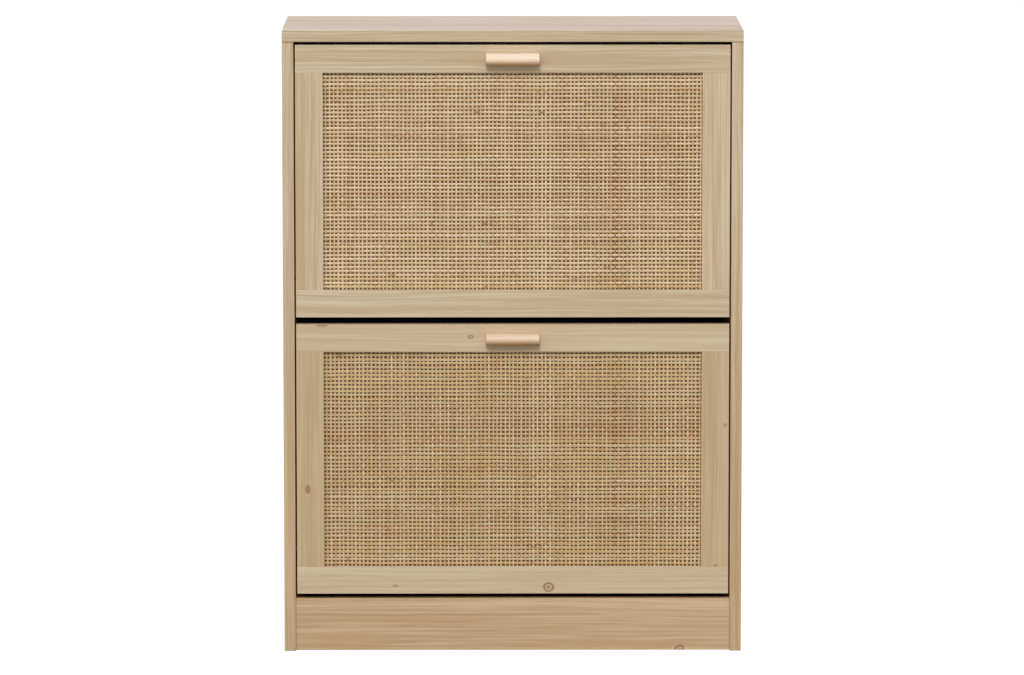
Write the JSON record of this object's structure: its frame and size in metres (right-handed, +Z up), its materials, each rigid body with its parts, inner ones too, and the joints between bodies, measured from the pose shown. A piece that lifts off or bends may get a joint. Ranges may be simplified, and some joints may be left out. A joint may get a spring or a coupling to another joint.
{
  "type": "shoe cabinet",
  "caption": "Slim shoe cabinet on a plinth with tilt-out flip drawers, framed woven cane fronts and half-round wooden handles.",
  "frame": {"origin": "floor level, under the middle of the whole cabinet with its handles", "axes": "+X to the cabinet's right as seen from the front, -Y out of the front, +Z up"},
  "size_m": [0.6, 0.26, 0.818],
  "materials": {
    "carcass_board": "wood-look melamine, satin",
    "drawer_board": "wood-look melamine, satin",
    "front_wood": "clear matt lacquer, knotty pine",
    "handle_wood": "clear satin lacquer, beech",
    "dowel_wood": "bare beech",
    "cane": "natural woven cane",
    "brown_hardboard": "smooth brown hardboard",
    "dark_hardboard": "dark lacquered hardboard",
    "black_plastic": "moulded, fine texture",
    "zinc": "zinc plated"
  },
  "bodies": {
    "carcass": {"top_panel": "carcass_board", "left_side_panel": "carcass_board", "right_side_panel": "carcass_board", "bottom_panel": "carcass_board", "plinth": "carcass_board", "rear_top_rail": "carcass_board", "rear_middle_rail": "carcass_board", "upper_back_panel": "dark_hardboard", "lower_back_panel": "dark_hardboard", "cam_locks": "zinc", "cam_bolts": "zinc", "dowels": "dowel_wood", "back_panel_nails": "zinc", "pivot_bushes": "black_plastic", "stop_pins": "zinc"},
    "upper_drawer": {"upper_top_rail": "front_wood", "upper_bottom_rail": "front_wood", "upper_left_stile": "front_wood", "upper_right_stile": "front_wood", "upper_frame_dowels": "dowel_wood", "upper_cane_panel": "cane", "upper_cane_backing": "brown_hardboard", "upper_panel_beads": "front_wood", "upper_bead_pins": "zinc", "upper_handle": "handle_wood", "upper_handle_screws": "zinc", "upper_left_bracket": "black_plastic", "upper_right_bracket": "black_plastic", "upper_bracket_screws": "zinc", "upper_front_floor": "drawer_board", "upper_divider": "drawer_board", "upper_rear_floor": "drawer_board", "upper_rear_board": "drawer_board"},
    "lower_drawer": {"lower_top_rail": "front_wood", "lower_bottom_rail": "front_wood", "lower_left_stile": "front_wood", "lower_right_stile": "front_wood", "lower_frame_dowels": "dowel_wood", "lower_cane_panel": "cane", "lower_cane_backing": "brown_hardboard", "lower_panel_beads": "front_wood", "lower_bead_pins": "zinc", "lower_handle": "handle_wood", "lower_handle_screws": "zinc", "lower_left_bracket": "black_plastic", "lower_right_bracket": "black_plastic", "lower_bracket_screws": "zinc", "lower_front_floor": "drawer_board", "lower_divider": "drawer_board", "lower_rear_floor": "drawer_board", "lower_rear_board": "drawer_board"}
  },
  "joints": [
    {"name": "upper_flip", "type": "hinge", "parent": "carcass", "child": "upper_drawer", "pos_m": [0, -0.088, 0.4975], "axis": [1, 0, 0], "range_deg": [0, 48]},
    {"name": "lower_flip", "type": "hinge", "parent": "carcass", "child": "lower_drawer", "pos_m": [0, -0.088, 0.1315], "axis": [1, 0, 0], "range_deg": [0, 48]}
  ]
}
